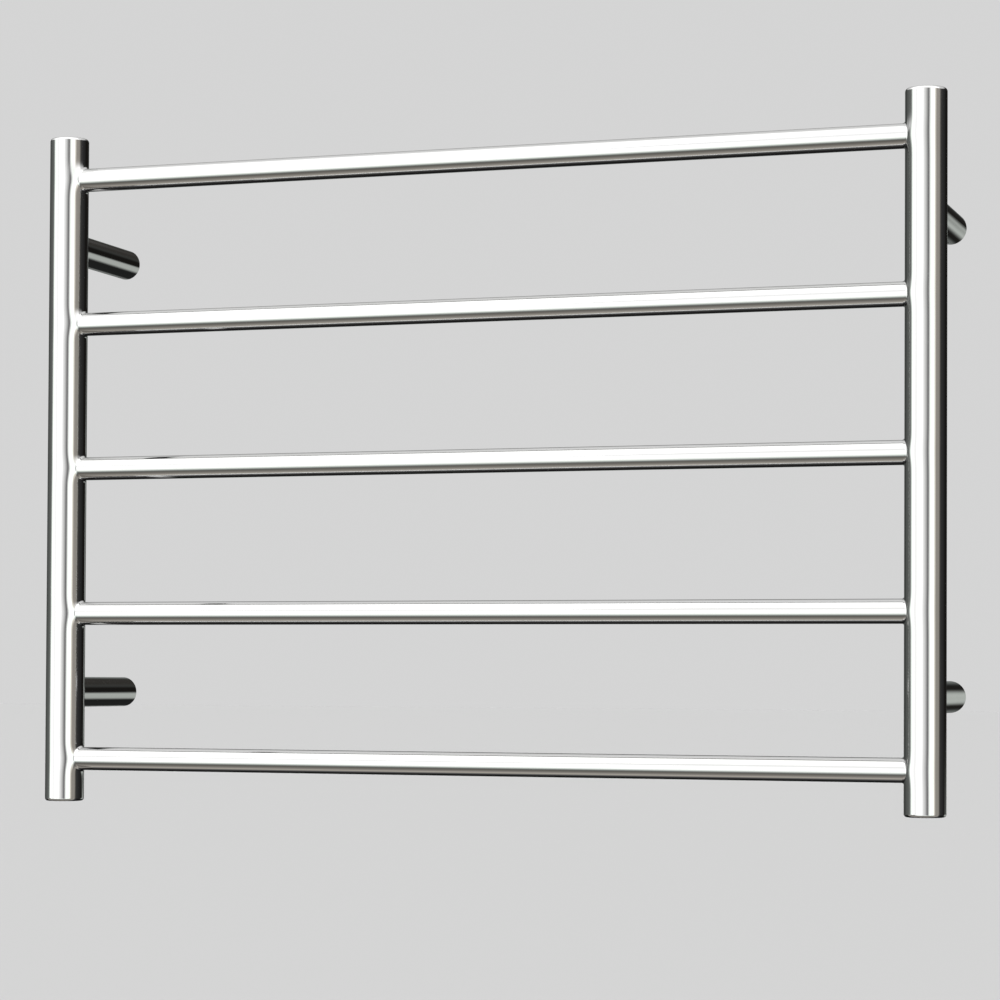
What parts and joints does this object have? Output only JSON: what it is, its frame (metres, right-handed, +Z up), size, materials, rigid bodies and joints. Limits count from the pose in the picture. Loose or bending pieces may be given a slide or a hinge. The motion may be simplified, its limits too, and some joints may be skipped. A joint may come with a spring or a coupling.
{
  "type": "heated towel rail",
  "caption": "Wall-mounted ladder towel rail: round horizontal bars welded between two round capped posts on four stand-off legs, with a heating cable inside.",
  "frame": {"origin": "on the wall plane, at the centre of the four wall screw holes, level with the middle bar", "axes": "+X along the bars to the right as seen from the room, +Y into the wall, +Z up"},
  "size_m": [0.75, 0.126, 0.55],
  "materials": {
    "polished_steel": "polished",
    "leg_steel": "polished",
    "turned_steel": "satin",
    "screw_steel": "satin",
    "black_rubber": "matte",
    "silicone": "matte",
    "white_nylon": "matte",
    "cutout_case": "satin",
    "tinned_brass": "satin"
  },
  "bodies": {
    "wall_spigots": {"upper_left_spigot": "turned_steel", "upper_right_spigot": "turned_steel", "lower_left_spigot": "turned_steel", "lower_right_spigot": "turned_steel", "wire_grommet": "black_rubber"},
    "rail": {"left_post": "polished_steel", "right_post": "polished_steel", "bar_1": "polished_steel", "bar_2": "polished_steel", "bar_3": "polished_steel", "bar_4": "polished_steel", "bar_5": "polished_steel", "top_cap_left": "polished_steel", "top_cap_right": "polished_steel", "bottom_cap_left": "polished_steel", "bottom_cap_right": "polished_steel", "upper_left_leg": "leg_steel", "upper_right_leg": "leg_steel", "lower_left_leg": "leg_steel", "lower_right_leg": "leg_steel", "heating_cable": "silicone", "cable_end_seal": "silicone", "wire_splice": "white_nylon", "thermal_cutout": "cutout_case", "earth_stud": "turned_steel", "earth_nut": "turned_steel", "earth_lug": "tinned_brass"},
    "upper_left_grub": {"upper_left_grub_screw": "screw_steel"},
    "upper_right_grub": {"upper_right_grub_screw": "screw_steel"},
    "lower_left_grub": {"lower_left_grub_screw": "screw_steel"},
    "lower_right_grub": {"lower_right_grub_screw": "screw_steel"}
  },
  "joints": [
    {"name": "rail_slide", "type": "slide", "parent": "wall_spigots", "child": "rail", "axis": [0, -1, 0], "range_m": [0, 0.03]},
    {"name": "upper_left_grub_out", "type": "slide", "parent": "rail", "child": "upper_left_grub", "axis": [0, 0, -1], "range_m": [0, 0.0035]},
    {"name": "upper_right_grub_out", "type": "slide", "parent": "rail", "child": "upper_right_grub", "axis": [0, 0, -1], "range_m": [0, 0.0035]},
    {"name": "lower_left_grub_out", "type": "slide", "parent": "rail", "child": "lower_left_grub", "axis": [0, 0, -1], "range_m": [0, 0.0035]},
    {"name": "lower_right_grub_out", "type": "slide", "parent": "rail", "child": "lower_right_grub", "axis": [0, 0, -1], "range_m": [0, 0.0035]}
  ]
}
